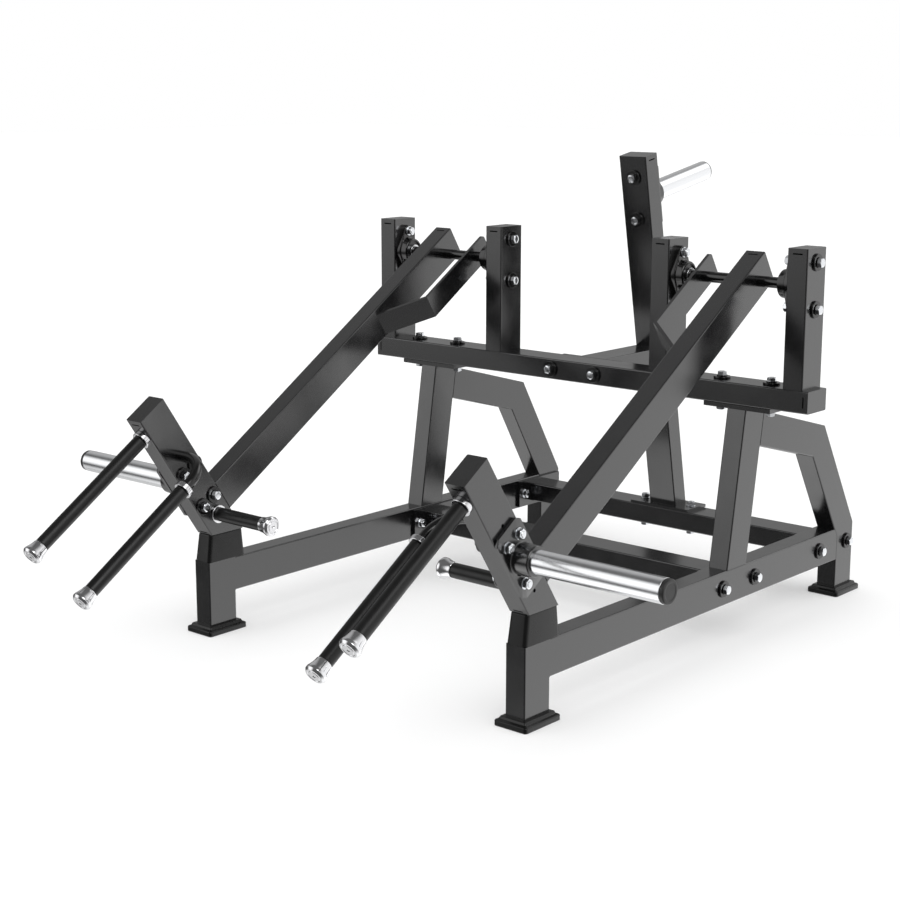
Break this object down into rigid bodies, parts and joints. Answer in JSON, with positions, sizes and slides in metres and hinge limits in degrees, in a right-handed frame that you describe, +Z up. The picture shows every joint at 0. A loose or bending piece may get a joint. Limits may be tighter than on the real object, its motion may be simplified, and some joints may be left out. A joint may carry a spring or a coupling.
{
  "type": "plate-loaded ground-base lever squat machine",
  "caption": "Plate-loaded ground-base lever machine: two swinging lever arms with handles and weight sleeves on a bolted tubular steel frame.",
  "frame": {"origin": "centre of the bounding box, on the floor", "axes": "+X to the machine's right seen by a user facing it from the front (handle) end, +Y from the handles to the rear post, +Z up; X = 0 is the symmetry plane"},
  "size_m": [1.684, 1.825, 1.0825],
  "materials": {
    "powder_coat": "charcoal satin-gloss powder coat",
    "black_enamel": "gloss black enamel",
    "black_rubber": "matte black moulded rubber",
    "grip_rubber": "matte black grip rubber",
    "zinc_steel": "bright zinc plating",
    "satin_aluminium": "polished aluminium",
    "chrome": "bright chrome plate",
    "black_plastic": "satin black moulded plastic"
  },
  "bodies": {
    "left_arm_body": {"left_pivot_shaft": "black_enamel", "left_lever_arm": "powder_coat", "left_brace_plate": "powder_coat", "left_handle_bracket": "powder_coat", "left_sleeve_flange": "powder_coat", "left_weight_sleeve": "chrome", "left_sleeve_cap": "black_plastic", "left_upper_handle": "black_enamel", "left_middle_handle": "black_enamel", "left_side_handle": "black_enamel", "left_handle_grips": "grip_rubber", "left_handle_collars": "zinc_steel", "left_handle_end_caps": "satin_aluminium", "left_sleeve_bolts": "zinc_steel"},
    "right_arm_body": {"right_pivot_shaft": "black_enamel", "right_lever_arm": "powder_coat", "right_brace_plate": "powder_coat", "right_handle_bracket": "powder_coat", "right_sleeve_flange": "powder_coat", "right_weight_sleeve": "chrome", "right_sleeve_cap": "black_plastic", "right_upper_handle": "black_enamel", "right_middle_handle": "black_enamel", "right_side_handle": "black_enamel", "right_handle_grips": "grip_rubber", "right_handle_collars": "zinc_steel", "right_handle_end_caps": "satin_aluminium", "right_sleeve_bolts": "zinc_steel"},
    "frame": {"right_front_post": "powder_coat", "left_front_post": "powder_coat", "right_base_rail": "powder_coat", "left_base_rail": "powder_coat", "right_upright": "powder_coat", "left_upright": "powder_coat", "right_rear_leg": "powder_coat", "left_rear_leg": "powder_coat", "right_front_foot": "black_rubber", "left_front_foot": "black_rubber", "right_rear_foot": "black_rubber", "left_rear_foot": "black_rubber", "right_bumper": "black_rubber", "left_bumper": "black_rubber", "front_cross_member": "powder_coat", "rear_cross_member": "powder_coat", "top_beam": "powder_coat", "right_outer_bearing_post": "powder_coat", "left_outer_bearing_post": "powder_coat", "right_inner_bearing_post": "powder_coat", "left_inner_bearing_post": "powder_coat", "right_outer_bearing_housing": "black_enamel", "left_outer_bearing_housing": "black_enamel", "right_inner_bearing_housing": "black_enamel", "left_inner_bearing_housing": "black_enamel", "bearing_inserts": "chrome", "rear_post": "powder_coat", "link_tube": "powder_coat", "storage_horn_flange": "powder_coat", "storage_horn": "chrome", "storage_horn_cap": "black_plastic", "frame_bolts": "zinc_steel"}
  },
  "joints": [
    {"name": "left_arm_pivot", "type": "hinge", "parent": "frame", "child": "left_arm_body", "pos_m": [-0.465, 0.39304, 0.82], "axis": [-1, 0, 0], "range_deg": [0, 50]},
    {"name": "right_arm_pivot", "type": "hinge", "parent": "frame", "child": "right_arm_body", "pos_m": [0.465, 0.39304, 0.82], "axis": [-1, 0, 0], "range_deg": [0, 50]}
  ]
}
